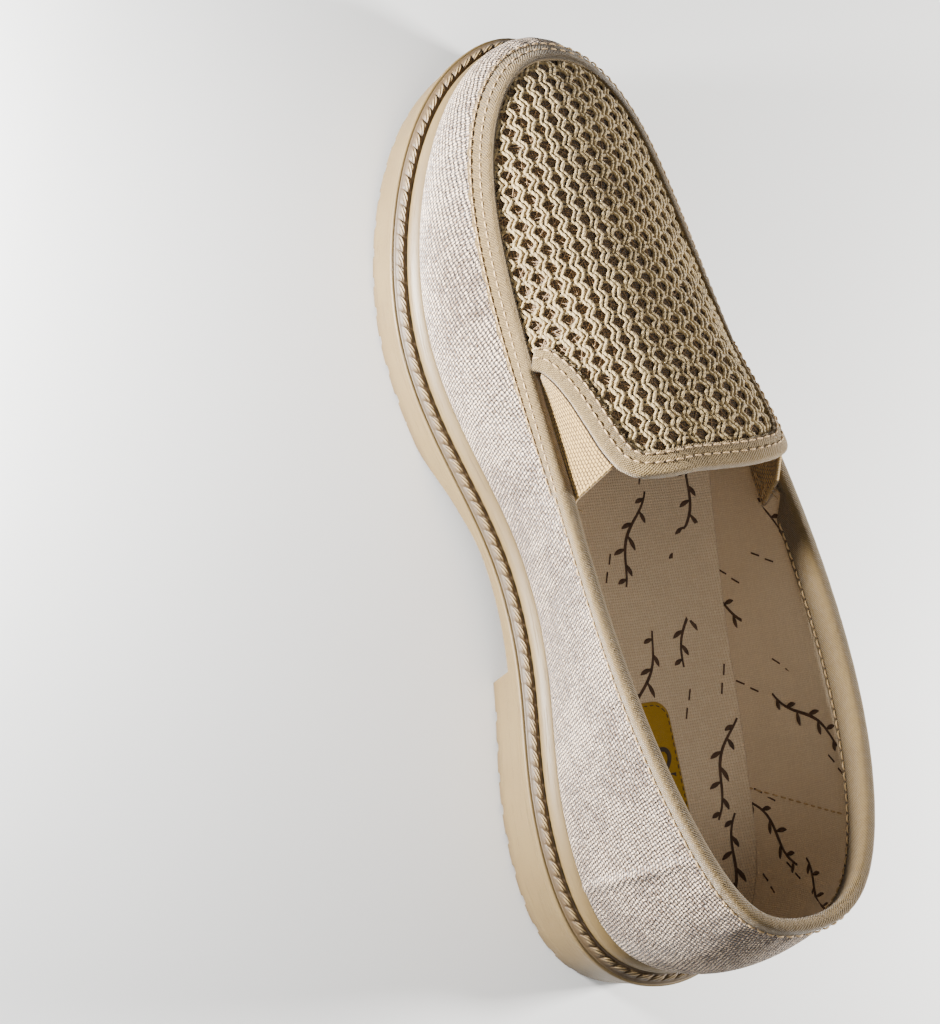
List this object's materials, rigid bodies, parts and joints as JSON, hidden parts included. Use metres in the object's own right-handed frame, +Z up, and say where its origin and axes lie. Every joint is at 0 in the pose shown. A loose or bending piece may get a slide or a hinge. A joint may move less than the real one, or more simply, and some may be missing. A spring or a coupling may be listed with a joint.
{
  "type": "house slipper",
  "caption": "Closed-heel house slipper for the right foot with a moulded sole, a fabric band, a mesh vamp plug and elastic gores.",
  "frame": {"origin": "centre of the bounding box's bottom face, on the floor under the sole", "axes": "+Z up, toe towards -Y, heel towards +Y, the shoe's medial side towards +X"},
  "size_m": [0.1028, 0.2868, 0.0918],
  "materials": {
    "outsole": "moulded rubber, soft satin, fine parting line",
    "rope_trim": "rope relief with a brown wash",
    "upper": "plain weave linen band and crocheted vamp plug, cream canvas inside",
    "edge_binding": "twill tape with stitch rows",
    "throat_tape": "light twill tape with stitch rows",
    "gore": "woven elastic",
    "insole": "cream canvas",
    "size_label": "woven label with a plain size number"
  },
  "bodies": {
    "root": {"outsole": "outsole", "rope_trim": "rope_trim", "upper": "upper", "edge_binding": "edge_binding", "throat_tape": "throat_tape", "gore_medial": "gore", "gore_lateral": "gore", "insole": "insole", "size_label": "size_label"}
  },
  "joints": []
}
